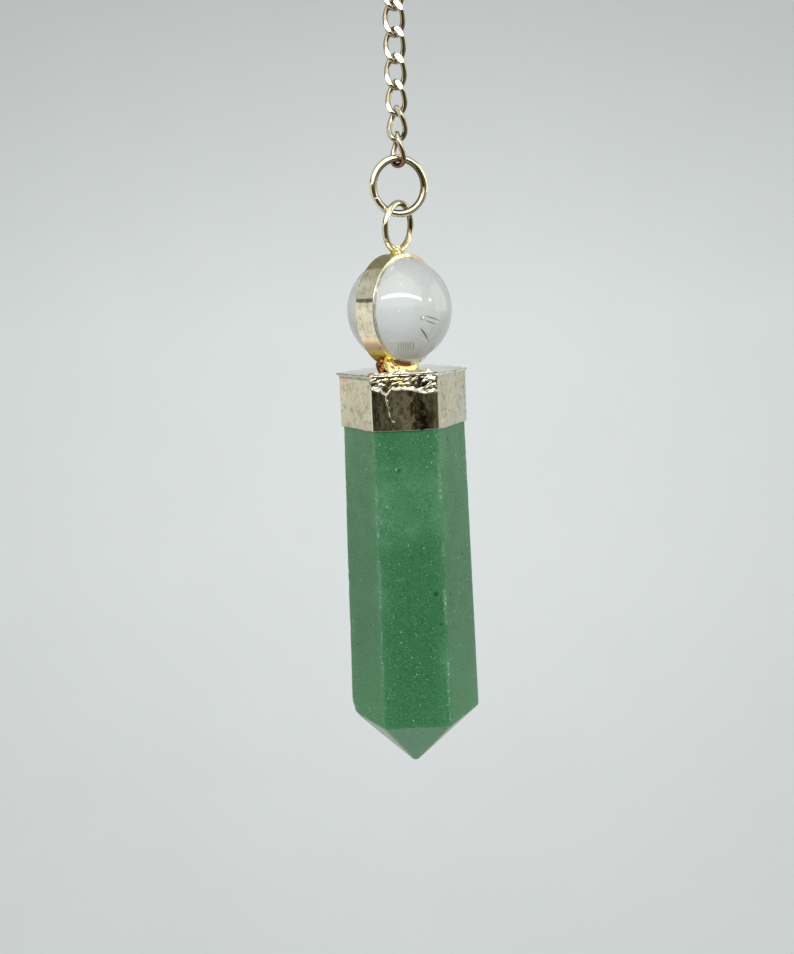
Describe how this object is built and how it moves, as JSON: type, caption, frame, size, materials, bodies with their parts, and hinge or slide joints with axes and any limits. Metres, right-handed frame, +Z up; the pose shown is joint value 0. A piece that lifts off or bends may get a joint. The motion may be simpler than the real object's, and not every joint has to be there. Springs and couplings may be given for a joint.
{
  "type": "pendulum pendant",
  "caption": "Hexagonal green stone point in a soldered metal cap, with a banded clear ball above it, hanging from a loop, a jump ring and a length of curb chain.",
  "frame": {"origin": "inside of the top link's upper bend, where the chain hangs", "axes": "+Z up along the chain, the pictured front faces -Y, +X to the right of it"},
  "size_m": [0.0132, 0.0115, 0.0756],
  "materials": {
    "chain_metal": "bright silver-champagne plating on wire, planed flat front and back",
    "ring_metal": "polished pale gold wire",
    "setting_metal": "polished silver-champagne plating over brass, with wrinkled solder",
    "clear_quartz": "polished clear rock crystal with fine needles inside",
    "green_stone": "polished green aventurine with fine sparkles and worn edges"
  },
  "bodies": {
    "chain": {"chain_link_1": "chain_metal", "chain_link_2": "chain_metal", "chain_link_3": "chain_metal", "chain_link_4": "chain_metal", "chain_link_5": "chain_metal", "chain_link_6": "chain_metal", "chain_link_7": "chain_metal"},
    "ring": {"jump_ring": "ring_metal"},
    "pendant": {"setting": "setting_metal", "quartz_ball": "clear_quartz", "stone_point": "green_stone"}
  },
  "joints": [
    {"name": "ring_swing", "type": "hinge", "parent": "chain", "child": "ring", "pos_m": [0, 0, -0.01575], "axis": [0.9397, 0.342, 0], "range_deg": [-60, 60]},
    {"name": "pendant_swing", "type": "hinge", "parent": "ring", "child": "pendant", "pos_m": [0, 0, -0.0208], "axis": [0.9397, 0.342, 0], "range_deg": [-25, 40]}
  ]
}
